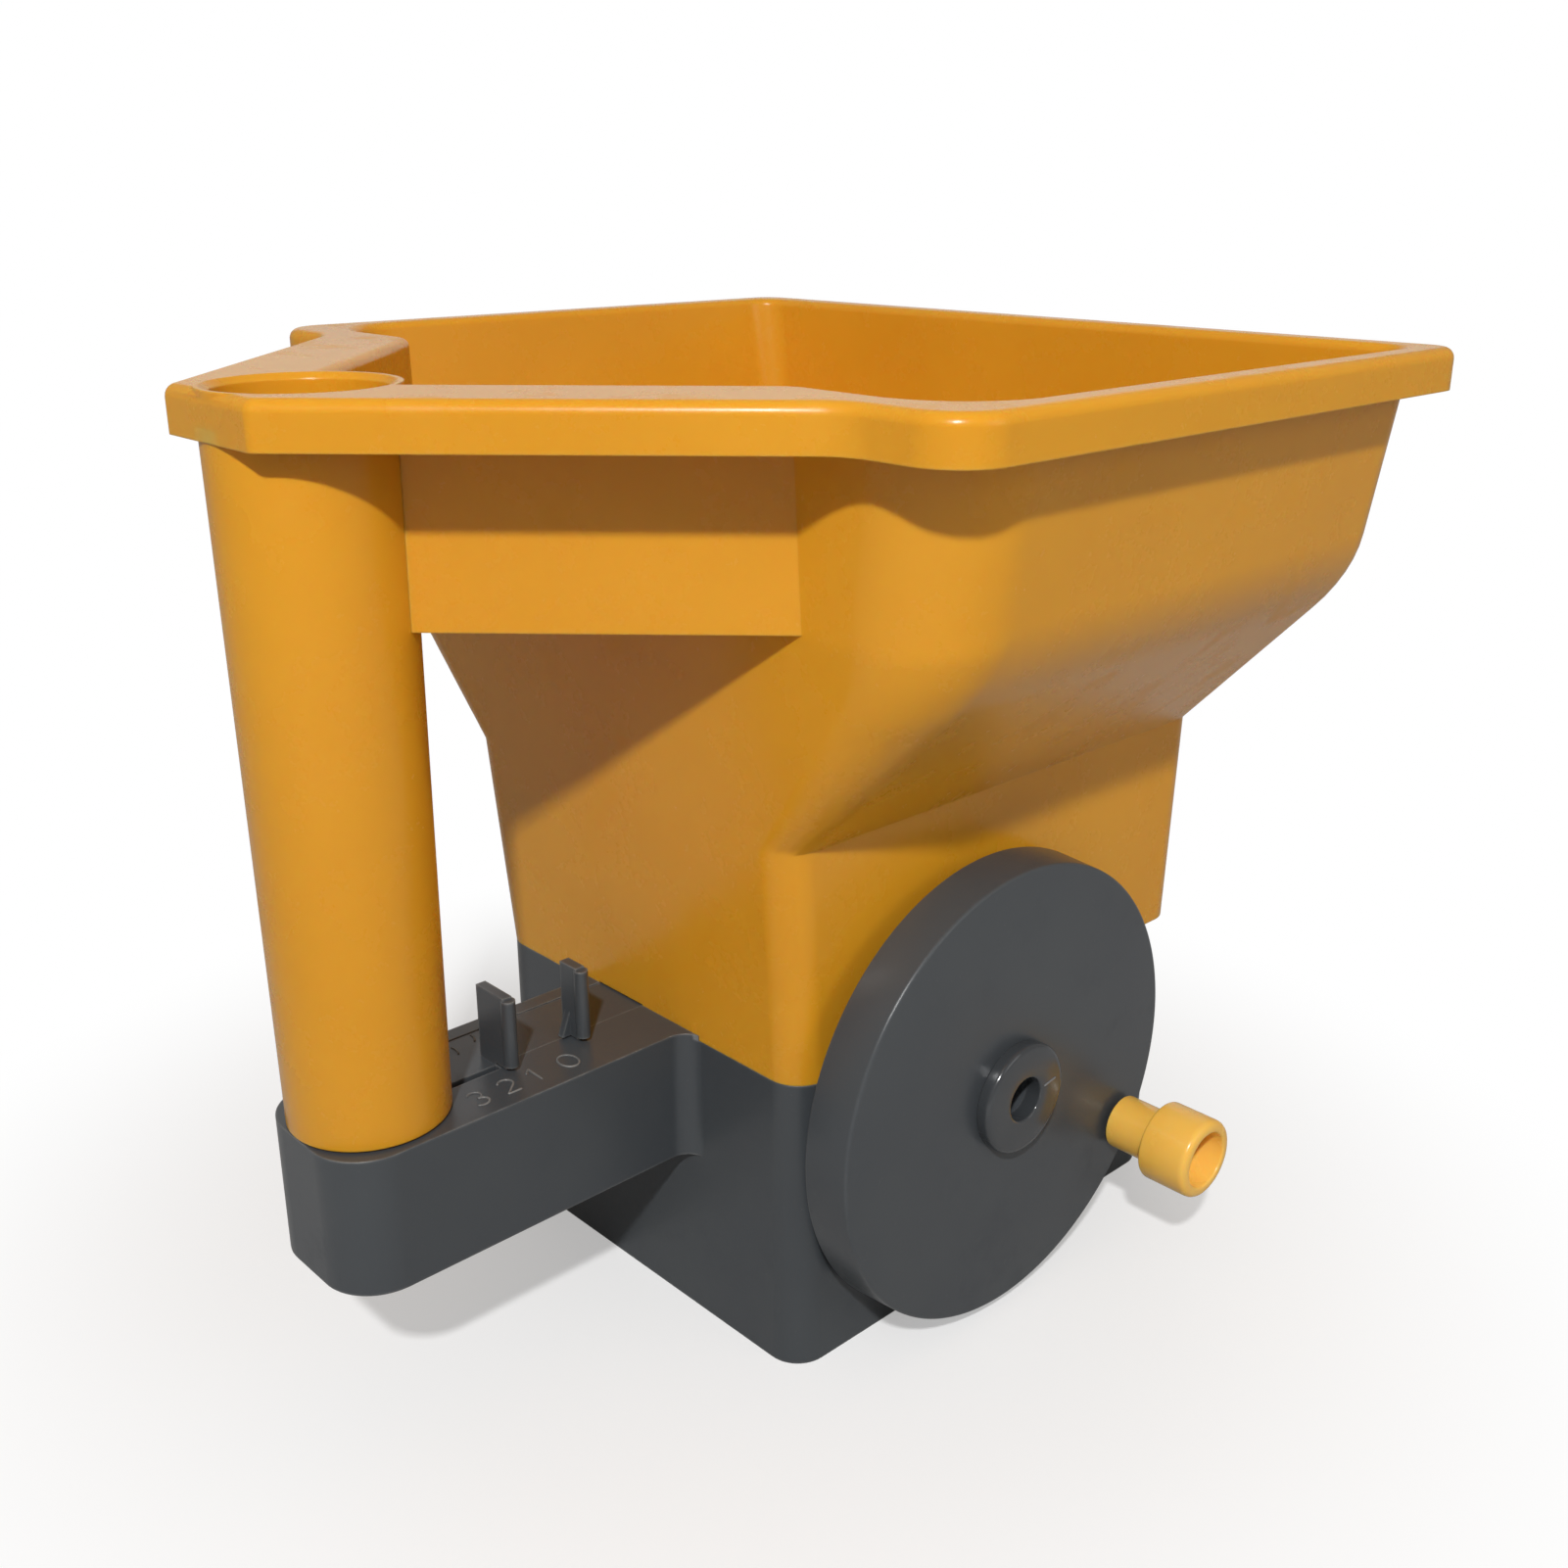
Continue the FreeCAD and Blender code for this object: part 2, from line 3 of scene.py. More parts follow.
import bmesh
import bpy
import numpy as np
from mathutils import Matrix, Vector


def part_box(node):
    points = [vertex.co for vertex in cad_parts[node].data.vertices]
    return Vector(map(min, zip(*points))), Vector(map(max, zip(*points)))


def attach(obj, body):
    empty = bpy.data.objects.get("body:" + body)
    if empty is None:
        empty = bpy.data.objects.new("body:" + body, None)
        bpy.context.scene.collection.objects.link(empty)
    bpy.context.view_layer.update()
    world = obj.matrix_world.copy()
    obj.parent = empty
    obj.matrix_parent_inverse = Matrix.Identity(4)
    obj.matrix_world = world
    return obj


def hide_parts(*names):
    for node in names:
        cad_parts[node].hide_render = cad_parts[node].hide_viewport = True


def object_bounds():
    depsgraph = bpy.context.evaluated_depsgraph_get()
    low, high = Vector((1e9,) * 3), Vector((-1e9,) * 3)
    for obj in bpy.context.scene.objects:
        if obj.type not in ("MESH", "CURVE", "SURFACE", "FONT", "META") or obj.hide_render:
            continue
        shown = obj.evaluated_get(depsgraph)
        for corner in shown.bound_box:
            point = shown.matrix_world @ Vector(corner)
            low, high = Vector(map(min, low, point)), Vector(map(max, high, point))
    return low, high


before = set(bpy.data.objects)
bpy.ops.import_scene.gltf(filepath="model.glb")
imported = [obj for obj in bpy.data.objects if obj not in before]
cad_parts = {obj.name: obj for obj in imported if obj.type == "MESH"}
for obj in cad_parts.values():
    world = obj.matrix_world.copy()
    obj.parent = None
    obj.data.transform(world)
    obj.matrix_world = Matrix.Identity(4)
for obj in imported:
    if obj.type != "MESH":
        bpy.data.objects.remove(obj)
cadBox = [list(corner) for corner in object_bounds()]
scene = bpy.context.scene
mm = 0.001
print("frame loaded:", len(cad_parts), "nodes")


# a node's box in millimetres: its lowest and highest x, y and z
def reach(node):
    low, high = np.array(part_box(node)) / mm
    return low, high


# shader maths: a signal is one output of a node, and sums or products of signals add nodes
class Signal:
    def __init__(self, network, socket):
        self.network = network
        self.socket = socket

    def combine(self, operation, first, second):
        return self.network.node("Math", {"operation": operation}, {0: first, 1: second})

    def __add__(self, other):
        return self.combine("ADD", self, other)

    def __radd__(self, other):
        return self.combine("ADD", other, self)

    def __sub__(self, other):
        return self.combine("SUBTRACT", self, other)

    def __rsub__(self, other):
        return self.combine("SUBTRACT", other, self)

    def __mul__(self, other):
        return self.combine("MULTIPLY", self, other)

    def __rmul__(self, other):
        return self.combine("MULTIPLY", other, self)


# a node tree, to which one method adds every node
class Network:
    def __init__(self, tree):
        self.tree = tree

    def node(self, kind, settings, values, output=0):
        made = self.tree.nodes.new("ShaderNode" + kind)
        for key, value in settings.items():
            setattr(made, key, value)
        for key, value in values.items():
            self.feed(made.inputs[key], value)
        return Signal(self, made.outputs[output])

    def feed(self, socket, value):
        if isinstance(value, Signal):
            self.tree.links.new(value.socket, socket)
        else:
            socket.default_value = value

    # two colours mixed: inputs 6 and 7 and output 2 are the Mix node's colour sockets
    def mix(self, factor, first, second):
        return self.node("Mix", {"data_type": "RGBA"}, {0: factor, 6: first, 7: second}, 2)

    # a smooth rise from 0 to 1 while the signal goes from low to high
    def between(self, signal, low, high):
        values = {0: signal, 1: low, 2: high, 3: 0.0, 4: 1.0}
        return self.node("MapRange", {"interpolation_type": "SMOOTHSTEP"}, values)


# one material's node tree
class Finish(Network):
    def __init__(self, name):
        self.material = bpy.data.materials.new(name)
        self.material.use_nodes = True
        super().__init__(self.material.node_tree)
        self.shader = self.tree.nodes["Principled BSDF"]
        self.place = self.node("TexCoord", {}, {}, "Object")

    # noise of one size in millimetres
    def noise(self, size, detail=2.0, roughness=0.5):
        values = {
            "Vector": self.place, "Scale": 1 / (size * mm),
            "Detail": detail, "Roughness": roughness,
        }
        return self.node("TexNoise", {}, values)

    # noise that goes from none to full between two of its levels
    def pattern(self, size, look):
        grains = self.noise(size, look["detail"], look["roughness"])
        return self.between(grains, look["low"], look["high"])

    def set(self, **values):
        for key, value in values.items():
            self.feed(self.shader.inputs[key.replace("_", " ")], value)


# screen values from 0 to 255 turned into the light values that shaders use
def colour(red, green, blue):
    screen = [level / 255 for level in (red, green, blue)]
    light = [c / 12.92 if c <= 0.04045 else ((c + 0.055) / 1.055) ** 2.4 for c in screen]
    return (*light, 1.0)


# how far red, green and blue light travel inside the plastic, as shares of glowDeep
glowReach = (1.0, 0.42, 0.12)

# patterns that all the plastics share; "dulls" is what one adds to the roughness, and "least"
# the share of an edge's lightening, partly rubbed wear and partly painted highlight, that is left
# between the rubbed patches of an edge
clouds = {"detail": 3.0, "roughness": 0.5, "low": 0.3, "high": 0.7}
patches = {"size": 6.0, "detail": 3.0, "roughness": 0.5, "low": 0.35, "high": 0.65}
specks = {"size": 1.3, "detail": 2.0, "roughness": 0.5, "low": 0.68, "high": 0.78}
scuffs = {"size": 14.0, "detail": 5.0, "roughness": 0.65, "low": 0.5, "high": 0.72, "dulls": 0.12}
edges = {"low": 0.15, "high": 0.5, "least": 0.45, "dulls": 0.05}
sinkSize = 38.0  # the shallow waves of a moulded wall
edgeSamples = 4  # rays that look for an edge at each point


# moulded plastic: cloudy colour, edges lightened partly as rubbed wear and partly as a painted
# highlight, a fine mould grain and a few scuffs; lengths are in millimetres: "edge" is the radius
# of the eased edges, and the other width is how wide the lightened edges are
def plastic(name, look):
    finish = Finish(name)
    cloud = finish.pattern(look["cloudSize"], clouds)
    base = finish.mix(cloud, colour(*look["base"]), colour(*look["deep"]))
    # painted highlight: convex edges, found by short rays that hit the inside of the part, are
    # mixed towards the pale colour; this is partly rubbed wear and partly a painted highlight
    # along the edges
    inward = {"inside": True, "only_local": True, "samples": edgeSamples}
    cover = finish.node("AmbientOcclusion", inward, {"Distance": look["rubAndHighlightWidth"] * mm}, "AO")
    patchy = edges["least"] + (1 - edges["least"]) * finish.pattern(patches["size"], patches)
    rubbedAndHighlit = finish.between(1.0 - cover, edges["low"], edges["high"]) * patchy
    base = finish.mix(rubbedAndHighlit * look["rubAndHighlight"], base, colour(*look["pale"]))
    speck = finish.pattern(specks["size"], specks)
    base = finish.mix(speck * look["speck"], base, colour(*look["pale"]))
    scuff = finish.pattern(scuffs["size"], scuffs)
    rough = look["rough"] + scuffs["dulls"] * scuff + edges["dulls"] * rubbedAndHighlit
    finish.set(Base_Color=base, Roughness=rough)
    grain = finish.noise(look["grainSize"], 2.0) * look["grainDeep"] * mm
    sink = finish.noise(sinkSize, 1.0) * look["sinkDeep"] * mm
    eased = finish.node("Bevel", {"samples": edgeSamples}, {"Radius": look["edge"] * mm})
    height = {"Height": grain + sink, "Distance": 1.0, "Strength": 1.0, "Normal": eased}
    finish.set(Normal=finish.node("Bump", {}, height))
    finish.set(Specular_IOR_Level=look["gloss"], Subsurface_Weight=look["glow"])
    finish.set(Subsurface_Scale=look["glowDeep"] * mm, Subsurface_Radius=glowReach)
    return finish.material


hopperPlastic = plastic("hopperPlastic", {
    "base": (223, 158, 37), "deep": (218, 152, 33), "pale": (234, 184, 92),
    "cloudSize": 60.0, "rubAndHighlight": 0.4, "speck": 0.05, "rough": 0.26,
    "grainSize": 0.8, "grainDeep": 0.012, "sinkDeep": 0.12, "gloss": 0.34,
    "edge": 0.5, "rubAndHighlightWidth": 0.9,
    "glow": 0.4, "glowDeep": 3.0,
})
knobPlastic = plastic("knobPlastic", {
    "base": (249, 197, 92), "deep": (245, 190, 82), "pale": (252, 216, 140),
    "cloudSize": 20.0, "rubAndHighlight": 0.4, "speck": 0.05, "rough": 0.24,
    "grainSize": 0.7, "grainDeep": 0.01, "sinkDeep": 0.05, "gloss": 0.45,
    "edge": 0.15, "rubAndHighlightWidth": 0.6,
    "glow": 0.3, "glowDeep": 2.0,
})
basePlastic = plastic("basePlastic", {
    "base": (69, 73, 76), "deep": (65, 69, 73), "pale": (126, 127, 126),
    "cloudSize": 45.0, "rubAndHighlight": 0.9, "speck": 0.06, "rough": 0.31,
    "grainSize": 0.7, "grainDeep": 0.012, "sinkDeep": 0.08, "gloss": 0.45,
    "edge": 0.35, "rubAndHighlightWidth": 0.7,
    "glow": 0.0, "glowDeep": 1.0,
})
bossPlastic = plastic("bossPlastic", {
    "base": (60, 63, 66), "deep": (56, 59, 62), "pale": (130, 131, 132),
    "cloudSize": 12.0, "rubAndHighlight": 0.8, "speck": 0.05, "rough": 0.15,
    "grainSize": 0.6, "grainDeep": 0.004, "sinkDeep": 0.03, "gloss": 0.65,
    "edge": 0.2, "rubAndHighlightWidth": 0.5,
    "glow": 0.0, "glowDeep": 1.0,
})
gearPlastic = plastic("gearPlastic", {
    "base": (214, 212, 202), "deep": (204, 201, 190), "pale": (230, 228, 220),
    "cloudSize": 18.0, "rubAndHighlight": 0.3, "speck": 0.04, "rough": 0.5,
    "grainSize": 0.5, "grainDeep": 0.006, "sinkDeep": 0.02, "gloss": 0.5,
    "edge": 0.2, "rubAndHighlightWidth": 0.4,
    "glow": 0.1, "glowDeep": 1.0,
})


stains = {
    "size": 5.0, "detail": 4.0, "roughness": 0.5, "low": 0.4, "high": 0.7,
    "shows": 0.5, "dulls": 0.15,
}


# turned steel: fine rings round the bar and a little dulling
def steel(name, look):
    finish = Finish(name)
    stain = finish.pattern(stains["size"], stains)
    base = finish.mix(stain * stains["shows"], colour(*look["base"]), colour(*look["dull"]))
    finish.set(Base_Color=base, Metallic=1.0, Roughness=look["rough"] + stains["dulls"] * stain)
    values = {"Vector": finish.place, "Scale": (look["across"], 1.0, look["across"])}
    squeezed = finish.node("Mapping", {"vector_type": "POINT"}, values)
    values = {"Vector": squeezed, "Scale": 1 / (look["ring"] * mm), "Detail": 2.0}
    rings = finish.node("TexNoise", {}, values)
    height = {"Height": rings * look["ringDeep"] * mm, "Distance": 1.0, "Strength": 1.0}
    finish.set(Normal=finish.node("Bump", {}, height))
    return finish.material


shaftSteel = steel("shaftSteel", {
    "base": (176, 176, 178), "dull": (132, 130, 128), "rough": 0.28,
    "ring": 0.25, "across": 0.05, "ringDeep": 0.004,
})
print("finishes made")


# pieces
def addPiece(name, mesh, body, material):
    piece = bpy.data.objects.new(name, mesh)
    scene.collection.objects.link(piece)
    mesh.materials.clear()
    mesh.materials.append(material)
    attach(piece, body)
    return piece


# grid of points, shape (rows, columns, 3), closed both ways into a mesh of quads
def closedGrid(name, points):
    rows, columns = points.shape[:2]
    index = np.arange(rows * columns).reshape(rows, columns)
    right = np.roll(index, -1, axis=1)
    corners = (index, right, np.roll(right, -1, axis=0), np.roll(index, -1, axis=0))
    faces = np.stack([c.ravel() for c in corners], axis=1)
    mesh = bpy.data.meshes.new(name)
    mesh.from_pydata((points.reshape(-1, 3) * mm).tolist(), [], faces.tolist())
    mesh.shade_smooth()
    return mesh


# faces turned outwards
def outward(mesh):
    work = bmesh.new()
    work.from_mesh(mesh)
    bmesh.ops.recalc_face_normals(work, faces=work.faces)
    work.to_mesh(mesh)
    work.free()
    return mesh


# outline with eased corners: each corner (across, along, radius) becomes a short arc,
# corner + cut * ((1 - t)^2 * back + t^2 * ahead), a curve between the two tangent points
def easedLoop(corners, steps=5):
    spot = np.array([c[:2] for c in corners], float)
    cut = np.array([c[2] for c in corners], float)[:, None, None]
    back = np.roll(spot, 1, axis=0) - spot
    ahead = np.roll(spot, -1, axis=0) - spot
    back /= np.linalg.norm(back, axis=1, keepdims=True)
    ahead /= np.linalg.norm(ahead, axis=1, keepdims=True)
    t = np.linspace(0.0, 1.0, steps)[None, :, None]
    curve = spot[:, None] + cut * ((1 - t) ** 2 * back[:, None] + t ** 2 * ahead[:, None])
    return curve.reshape(-1, 2)


# a loop of (radius, along) turned round an axis: across = middle + radius cos a and
# radius sin a, with the axis along y, or upright along z
def turned(name, corners, middle, count=160, upright=False):
    loop = easedLoop(corners)
    angle = np.linspace(0.0, 2 * math.pi, count, endpoint=False)[:, None]
    first = middle[0] + loop[:, 0] * np.cos(angle)
    second = middle[1] + loop[:, 0] * np.sin(angle)
    along = np.broadcast_to(loop[:, 1], first.shape)
    points = (first, second, along) if upright else (first, along, second)
    return outward(closedGrid(name, np.stack(points, axis=2)))


# where a face's own across, up and out lie in the frame: on level faces and on the disc's
def onLevel(height):
    return lambda across, up, out: np.stack([across, up, height + out], axis=-1)


def onDisc(face):
    return lambda across, up, out: np.stack([across, face - out, up], axis=-1)


ridgeSunk = 0.2  # how deep a ridge goes into its face, so that it never floats
tipMerge = 0.001  # how near the points at a ridge's tip are, to become one


# a half-round ridge carried along a flat path: sideways = width / 2 cos b and
# out = tall sin b, with b all the way round and the lower half sunk into the face;
# the ends of an open path narrow to a point like a quarter circle
def ridge(name, path, look, place, closed=False):
    if closed:
        ahead = np.roll(path, -1, axis=0) - np.roll(path, 1, axis=0)
    else:
        ahead = np.gradient(path, axis=0)
    side = np.stack([-ahead[:, 1], ahead[:, 0]], axis=1)
    side /= np.linalg.norm(side, axis=1, keepdims=True)
    b = np.linspace(0.0, 2 * math.pi, 12, endpoint=False)
    gone = np.concatenate([[0.0], np.cumsum(np.linalg.norm(np.diff(path, axis=0), axis=1))])
    near = np.clip(np.minimum(gone, gone[-1] - gone) / (look["width"] / 2), 0.0, 1.0)
    taper = np.ones(len(path)) if closed else np.sqrt(1 - (1 - near) ** 2)
    spread = look["width"] / 2 * np.cos(b) * taper[:, None]
    out = np.where(np.sin(b) > 0, look["tall"], ridgeSunk) * np.sin(b) * taper[:, None]
    flat = path[:, None, :] + side[:, None, :] * spread[:, :, None]
    mesh = closedGrid(name, place(flat[:, :, 0], flat[:, :, 1], out))
    if not closed:
        work = bmesh.new()
        work.from_mesh(mesh)
        work.faces.ensure_lookup_table()
        bmesh.ops.delete(work, geom=work.faces[(len(path) - 1) * len(b):], context="FACES_ONLY")
        bmesh.ops.remove_doubles(work, verts=work.verts, dist=tipMerge * mm)
        work.to_mesh(mesh)
        work.free()
    return outward(mesh)


# arc from one angle to another, in degrees, and a straight run, both as rows of (x, y)
def arc(middle, radii, start, stop, count=24):
    a = np.radians(np.linspace(start, stop, count))
    return np.stack([middle[0] + radii[0] * np.cos(a), middle[1] + radii[1] * np.sin(a)], axis=1)


def run(*corners, each=8):
    spot = np.array(corners, float)
    t = np.linspace(0.0, 1.0, each)[:, None]
    return np.concatenate([a + (b - a) * t for a, b in zip(spot, spot[1:])])


# crank disc: a dish open towards the base, and the glossy boss round the shaft's end
discLook = {
    "flare": 0.8, "skin": 3.0, "hub": 10.0, "bore": 4.0, "edge": 0.9,
    "boss": 14.2, "proud": 3.6, "hole": 5.7, "deep": 6.0, "bossEdge": 1.5,
    "mark": {"turn": 10.0, "from": 6.6, "to": 11.4, "width": 0.6, "tall": 0.25},
}


def makeDisc(d):
    low, high = reach("crank_disc")
    middle = ((low[0] + high[0]) / 2, (low[2] + high[2]) / 2)
    face = low[1]
    near = face + d["proud"]
    far = high[1]
    outer = (high[0] - low[0]) / 2
    inside = outer - d["flare"] - d["skin"]
    corners = [
        (d["bore"], far, 0.3), (d["bore"], near + d["deep"], 0.05),
        (d["hole"], near + d["deep"], 0.3), (d["hole"], near, 0.1),
        (outer - d["flare"], near, d["edge"]), (outer, far, 0.5),
        (inside, far, 0.4), (inside, near + d["skin"], 1.2),
        (d["hub"], near + d["skin"], 0.8), (d["hub"], far, 0.5),
    ]
    disc = addPiece("crankDisc", turned("crankDisc", corners, middle, 256),
                    "crank", basePlastic)
    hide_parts("crank_disc")
    corners = [
        (d["hole"] - 0.1, near + 1.0, 0.1), (d["hole"] - 0.1, face, 0.7),
        (d["boss"], face, d["bossEdge"]), (d["boss"], near - 0.1, 0.1),
        (d["boss"] - 1.0, near + 1.0, 0.1),
    ]
    boss = turned("crankBoss", corners, middle, 192)
    addPiece("crankBoss", boss, "crank", bossPlastic)
    mark = d["mark"]
    turn = math.radians(mark["turn"])
    radii = np.linspace(mark["from"], mark["to"], 12)[:, None]
    path = np.array(middle) + radii * np.array([math.cos(turn), math.sin(turn)])
    mesh = ridge("bossMark", path, mark, onDisc(face))
    addPiece("bossMark", mesh, "crank", bossPlastic)


# knob and its stem, with the seat that holds the knob's pin on the disc
knobLook = {
    "gap": 0.7, "neck": 13.8, "stem": 7.1, "hole": 7.45, "floor": 4.0, "bore": 3.05,
    "bevel": 0.8, "round": 2.0, "seat": 6.5, "seatFar": 15.8, "seatNear": 3.6,
}


def makeKnob(d):
    low, high = reach("crank_knob")
    middle = ((low[0] + high[0]) / 2, (low[2] + high[2]) / 2)
    head = (high[0] - low[0]) / 2
    end = low[1]
    neck = end + d["neck"]
    start = high[1] - d["gap"]
    deep = neck - d["floor"]
    corners = [
        (d["bore"], start, 0.2), (d["stem"], start, 0.5), (d["stem"], neck, 0.7),
        (head, neck, d["bevel"]), (head, end, d["round"]),
        (d["hole"], end, 0.6), (d["hole"], deep, 0.6), (0.05, deep, 0.01),
        (0.05, deep + 1.0, 0.01), (d["bore"], deep + 1.0, 0.2),
    ]
    knob = addPiece("crankKnob", turned("crankKnob", corners, middle, 160),
                    "knob", knobPlastic)
    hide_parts("crank_knob")
    far = high[1] + d["seatFar"]
    near = high[1] + d["seatNear"]
    corners = [
        (d["bore"], far, 0.2), (d["bore"], near, 0.2),
        (d["seat"], near, 0.2), (d["seat"], far, 0.6),
    ]
    seat = turned("pinSeat", corners, middle, 96)
    addPiece("pinSeat", seat, "crank", basePlastic)


# grip: a tube that widens towards the deck
gripLook = {"foot": 17.9, "wall": 2.3, "lift": 0.4}


def makeGrip(d):
    low, high = reach("grip_tube")
    middle = ((low[0] + high[0]) / 2, (low[1] + high[1]) / 2)
    top = (high[0] - low[0]) / 2
    foot = low[2] + d["lift"]
    corners = [
        (d["foot"], foot, 0.4), (top, high[2], 0.2),
        (top - d["wall"], high[2], 0.2), (d["foot"] - d["wall"], foot, 0.4),
    ]
    grip = addPiece("gripTube", turned("gripTube", corners, middle, 192, upright=True),
                    "frame", hopperPlastic)
    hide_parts("grip_tube")


makeDisc(discLook)
makeKnob(knobLook)
makeGrip(gripLook)
print("crank and grip made")


skinMerge = 0.002  # how near the corners of two triangles are, to become one


# a node's mesh as one closed skin: its loose triangles merged at their corners
def skinOf(node):
    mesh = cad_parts[node].data.copy()
    work = bmesh.new()
    work.from_mesh(mesh)
    bmesh.ops.remove_doubles(work, verts=work.verts, dist=skinMerge * mm)
    work.to_mesh(mesh)
    work.free()
    return mesh


def asMesh(holder):
    seen = holder.evaluated_get(bpy.context.evaluated_depsgraph_get())
    return bpy.data.meshes.new_from_object(seen)


# two closed skins that touch, made into one moulding
def mouldedTogether(first, second):
    holders = [bpy.data.objects.new("half", skin) for skin in (first, second)]
    for holder in holders:
        scene.collection.objects.link(holder)
    join = holders[0].modifiers.new("join", "BOOLEAN")
    join.operation = "UNION"
    join.solver = "EXACT"
    join.object = holders[1]
    mesh = asMesh(holders[0])
    for holder in holders:
        bpy.data.objects.remove(holder)
    work = bmesh.new()
    work.from_mesh(mesh)
    bmesh.ops.triangulate(work, faces=work.faces)
    work.to_mesh(mesh)
    work.free()
    return mesh


flatAngle = 0.25  # triangles that meet at a flatter angle, in degrees, are one flat


# how wide the flat is that each triangle lies in: twice the flat's area over its outline
def flatWidths(side, area, normal, first, second):
    face, other = first // 3, second // 3
    level = (normal[face] * normal[other]).sum(axis=1) > math.cos(math.radians(flatAngle))
    length = np.linalg.norm(side, axis=2)
    flat = np.arange(len(area))
    changed = True
    while changed:
        before = flat.copy()
        low = np.minimum(flat[face[level]], flat[other[level]])
        np.minimum.at(flat, flat[face[level]], low)
        np.minimum.at(flat, flat[other[level]], low)
        flat = flat[flat]
        changed = (flat != before).any()
    outline = np.bincount(flat, length.sum(axis=1), len(flat))
    inner = np.bincount(flat[face[level]], 2 * length.ravel()[first[level]], len(flat))
    whole = np.bincount(flat, area, len(flat))
    return (2 * whole / np.maximum(outline - inner, 1e-9))[flat]


# smooth shading that leaves flats flat: the normal at a triangle's corner is the sum of the
# normals of the triangles that meet there within an angle, each times the angle of its corner
# there and the square of its flat's width
def shadeByFlats(mesh, angle):
    spot = np.empty(len(mesh.vertices) * 3)
    mesh.vertices.foreach_get("co", spot)
    corner = np.empty(len(mesh.loops), int)
    mesh.loops.foreach_get("vertex_index", corner)
    p = spot.reshape(-1, 3)[corner].reshape(-1, 3, 3) / mm
    side = np.roll(p, -1, axis=1) - p
    cross = np.cross(side[:, 0], side[:, 1])
    area = np.linalg.norm(cross, axis=1) / 2
    normal = cross / np.maximum(2 * area, 1e-12)[:, None]
    back = -np.roll(side, 1, axis=1)
    opening = np.arctan2(np.linalg.norm(np.cross(side, back), axis=2), (side * back).sum(axis=2))

    ends = np.sort(np.stack([corner, np.roll(corner.reshape(-1, 3), -1, axis=1).ravel()]), axis=0)
    key = ends[0] * len(mesh.vertices) + ends[1]
    order = np.argsort(key, kind="stable")
    shared = key[order][1:] == key[order][:-1]
    width = flatWidths(side, area, normal, order[:-1][shared], order[1:][shared])

    order = np.argsort(corner, kind="stable")
    many = np.bincount(corner)[corner[order]]
    start = np.searchsorted(corner[order], corner[order])
    first = np.repeat(np.arange(len(order)), many)
    step = np.arange(many.sum()) - np.repeat(np.cumsum(many) - many, many)
    second = order[np.repeat(start, many) + step]
    first = order[first]
    near = (normal[first // 3] * normal[second // 3]).sum(axis=1) > math.cos(math.radians(angle))
    weight = near * opening.ravel()[second] * width[second // 3] ** 2
    pull = weight[:, None] * normal[second // 3]
    total = [np.bincount(first, pull[:, axis], len(corner)) for axis in range(3)]
    total = np.stack(total, axis=1)
    total /= np.maximum(np.linalg.norm(total, axis=1, keepdims=True), 1e-12)
    mesh.shade_smooth()
    mesh.normals_split_custom_set(total.tolist())


softAngle = 32  # faces that meet at a flatter angle, in degrees, are shaded as one
seamGap = 0.35  # the open parting line between hopper and base


# a moulding that stands for its nodes
def moulding(name, mesh, nodes, body, material):
    shadeByFlats(mesh, softAngle)
    piece = addPiece(name, mesh, body, material)
    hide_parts(*nodes)


# the hopper's lower edge stands a hair above the base, which leaves the parting line open
def openSeam(mesh, seam, gap):
    spot = np.empty(len(mesh.vertices) * 3)
    mesh.vertices.foreach_get("co", spot)
    height = spot.reshape(-1, 3)[:, 2]
    height[height < (seam + gap / 2) * mm] = (seam + gap) * mm
    mesh.vertices.foreach_set("co", spot)
    return mesh


hopperSkin = openSeam(skinOf("hopper"), reach("hopper")[0][2], seamGap)
moulding("hopperShell", hopperSkin, ["hopper"], "frame", hopperPlastic)
baseSkin = mouldedTogether(skinOf("base_housing"), skinOf("base_arm"))
moulding("baseShell", baseSkin, ["base_housing", "base_arm"], "frame", basePlastic)
sliderSkin = skinOf("dosing_slider")
moulding("doseSlider", sliderSkin, ["dosing_slider"], "slider", basePlastic)

# inner parts that keep their own meshes
kept = {
    "shaft_bracket": basePlastic, "crank_shaft": shaftSteel, "crown_gear": gearPlastic,
    "knob_pin": shaftSteel, "spinner_disc": basePlastic, "spinner_shaft": gearPlastic,
}
for name, material in kept.items():
    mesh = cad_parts[name].data
    mesh.materials.clear()
    mesh.materials.append(material)
print("shells made")


# the scale's raised numbers beside the slider: each is a path one unit high round its own
# middle, open or closed, stretched to its width and height in millimetres
numberLook = {
    "at": (-60.1, -69.6, -76.8, -85.0), "across": -12.3, "spigot": 8.0,
    "wide": 4.6, "high": 6.0, "width": 0.55, "tall": 0.3,
}
ring = arc((0, 0), (0.5, 0.5), 0, 345, 24)
one = [run((-0.32, 0.22), (0.06, 0.5)), run((0.06, 0.5), (0.06, -0.5))[1:]]
two = [arc((0, 0.2), (0.4, 0.3), 160, -30), run((0.34, 0.04), (-0.42, -0.5), (0.45, -0.5))]
three = [arc((0, 0.24), (0.36, 0.26), 150, -80), arc((0, -0.25), (0.42, 0.27), 85, -150)]
numberPaths = [(ring, True)] + [(np.concatenate(parts), False) for parts in (one, two, three)]


def addNumber(digit, x, d):
    unit, closed = numberPaths[digit]
    path = np.array([x, d["across"]]) + unit * np.array([d["wide"], d["high"]])
    name = "scaleNumber" + str(digit)
    mesh = ridge(name, path, d, onLevel(reach("base_arm")[1][2] - d["spigot"]), closed)
    addPiece(name, mesh, "frame", basePlastic)


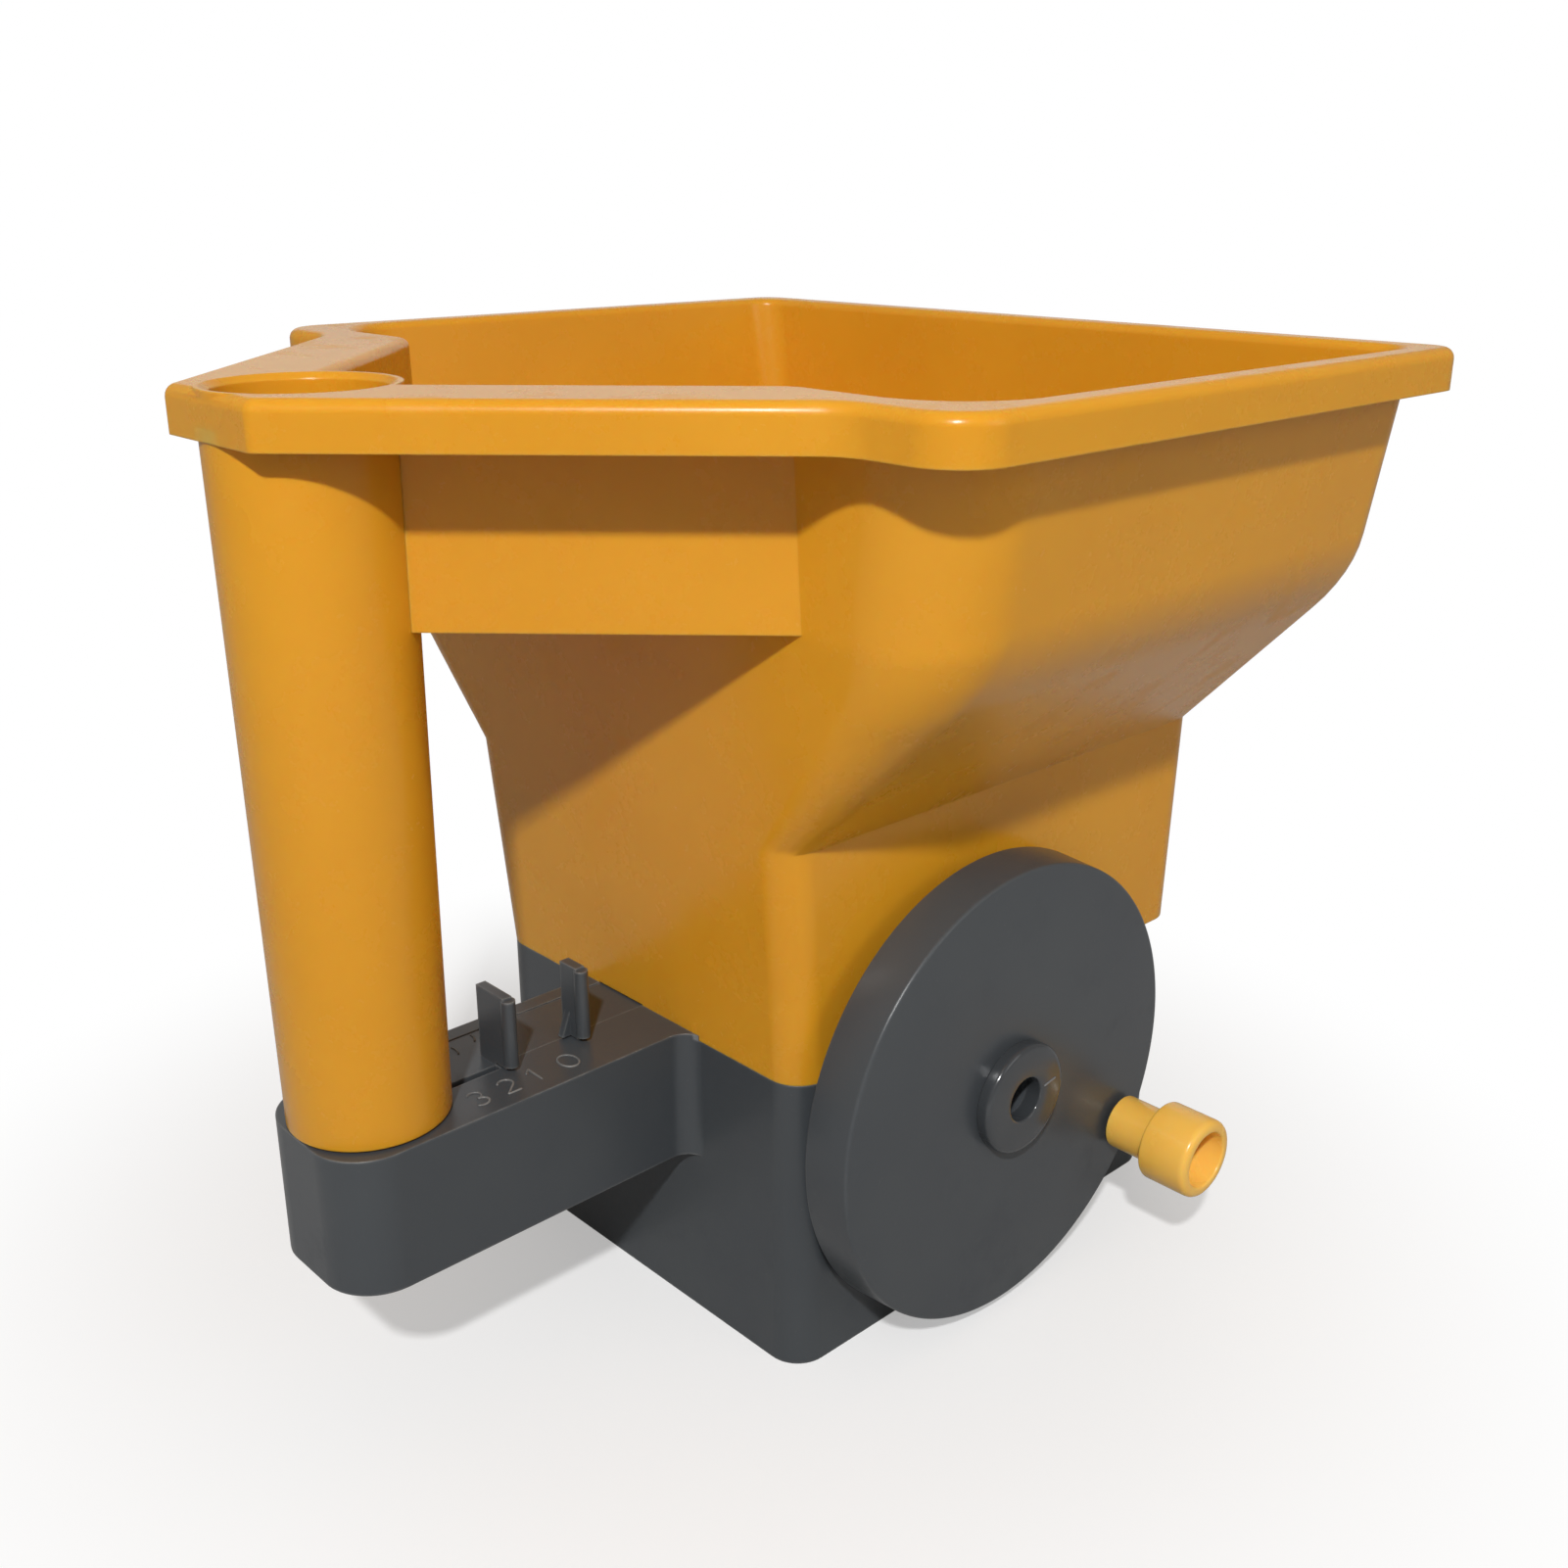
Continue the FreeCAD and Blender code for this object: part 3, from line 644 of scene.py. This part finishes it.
for digit, x in enumerate(numberLook["at"]):
    addNumber(digit, x, numberLook)


# two strokes on the slider's bar, each bowed a little to one side
strokeLook = {
    "top": 78.2, "width": 0.5, "tall": 0.25, "bow": 0.5,
    "ends": (((-76.4, 12.4), (-76.9, 7.9)), ((-69.6, 14.4), (-70.8, 10.6))),
}


def addStroke(index, start, stop, d):
    path = run(start, stop, each=12)
    path[:, 0] += d["bow"] * np.sin(np.linspace(0.0, math.pi, len(path)))
    name = "barStroke" + str(index)
    mesh = ridge(name, path, d, onLevel(d["top"]))
    addPiece(name, mesh, "slider", basePlastic)


for index, (start, stop) in enumerate(strokeLook["ends"]):
    addStroke(index, start, stop, strokeLook)
print("scale made")


# stage: a pale floor that fades to white away from the object, "clear" metres from its middle
floorLook = {
    "seen": (252, 252, 252), "bounce": (175, 175, 175), "rough": 0.9, "gloss": 0.1,
    "clear": (0.1, 0.26), "least": 0.4, "mirrored": 0.2, "half": 4.0,
}


def makeFloor(d):
    finish = Finish("paleFloor")
    camera = finish.node("LightPath", {}, {}, "Is Camera Ray")
    glossy = finish.node("LightPath", {}, {}, "Is Glossy Ray")
    through = finish.node("LightPath", {}, {}, "Is Transmission Ray")
    pale = finish.mix(camera, colour(*d["bounce"]), colour(*d["seen"]))
    finish.set(Base_Color=pale, Roughness=d["rough"], Specular_IOR_Level=d["gloss"])
    away = finish.node("VectorMath", {"operation": "LENGTH"}, {0: finish.place}, 1)
    fade = d["least"] + (1 - d["least"]) * finish.between(away, *d["clear"])
    fade = fade * (camera + d["mirrored"] * glossy + through)
    white = finish.node("Emission", {}, {"Color": (1, 1, 1, 1), "Strength": 1.0})
    surface = Signal(finish, finish.shader.outputs[0])
    mixed = finish.node("MixShader", {}, {0: fade, 1: surface, 2: white})
    finish.feed(finish.tree.nodes["Material Output"].inputs[0], mixed)
    mesh = bpy.data.meshes.new("floor")
    corners = [(x * d["half"], y * d["half"], 0) for x, y in ((-1, -1), (1, -1), (1, 1), (-1, 1))]
    mesh.from_pydata(corners, [], [(0, 1, 2, 3)])
    mesh.materials.append(finish.material)
    floor = bpy.data.objects.new("floor", mesh)
    scene.collection.objects.link(floor)


# soft light from all round, and a white backdrop for the camera and for what is seen through
worldLook = {"tint": (1.0, 0.93, 0.86, 1), "ambient": 0.26, "backdrop": 1.0, "mirrored": 0.05}


def makeWorld(d):
    scene.world = bpy.data.worlds.new("studio")
    scene.world.use_nodes = True
    studio = Network(scene.world.node_tree)
    camera = studio.node("LightPath", {}, {}, "Is Camera Ray")
    glossy = studio.node("LightPath", {}, {}, "Is Glossy Ray")
    through = studio.node("LightPath", {}, {}, "Is Transmission Ray")
    ambient = studio.node("Background", {}, {"Color": d["tint"], "Strength": d["ambient"]})
    backdrop = studio.node("Background", {}, {"Color": (1, 1, 1, 1), "Strength": d["backdrop"]})
    shown = camera + through + d["mirrored"] * glossy
    mixed = studio.node("MixShader", {}, {0: shown, 1: ambient, 2: backdrop})
    studio.feed(studio.tree.nodes["World Output"].inputs[0], mixed)


# each lamp: where it stands, in metres, how wide it is, and its power in watts
lamps = {
    "keyLamp": {"place": (-0.8, -0.746, 1.069), "size": 0.06, "power": 16.2},
    "fillLamp": {"place": (0.3, -1.1, 0.6), "size": 0.6, "power": 1.4},
    "backLamp": {"place": (0.85, 0.95, 0.35), "size": 1.4, "power": 2.8},
}


def makeLamp(name, look):
    lamp = bpy.data.lights.new(name, "AREA")
    lamp.energy = look["power"]
    lamp.size = look["size"]
    holder = bpy.data.objects.new(name, lamp)
    scene.collection.objects.link(holder)
    holder.location = look["place"]
    middle = [(low + high) / 2 for low, high in zip(*cadBox)]
    aim = [m - p for m, p in zip(middle, look["place"])]
    flat = math.hypot(aim[0], aim[1])
    turn = math.atan2(aim[1], aim[0]) - math.pi / 2
    holder.rotation_euler = (math.atan2(flat, -aim[2]), 0, turn)


# the camera, with its place in metres and its tilt and turn in degrees
cameraLook = {
    "place": (-0.2585, -0.2966, 0.2718), "tilt": 70.01, "turn": -43.24,
    "lens": 38.31, "film": 36.0, "near": 0.01,
}


def makeCamera(d):
    camera = bpy.data.cameras.new("camera")
    camera.lens = d["lens"]
    camera.sensor_width = d["film"]
    camera.clip_start = d["near"]
    holder = bpy.data.objects.new("camera", camera)
    scene.collection.objects.link(holder)
    holder.location = d["place"]
    holder.rotation_euler = (math.radians(d["tilt"]), 0, math.radians(d["turn"]))
    scene.camera = holder


makeFloor(floorLook)
makeWorld(worldLook)
for name, look in lamps.items():
    makeLamp(name, look)
makeCamera(cameraLook)
scene.view_settings.view_transform = "Standard"
print("stage set")
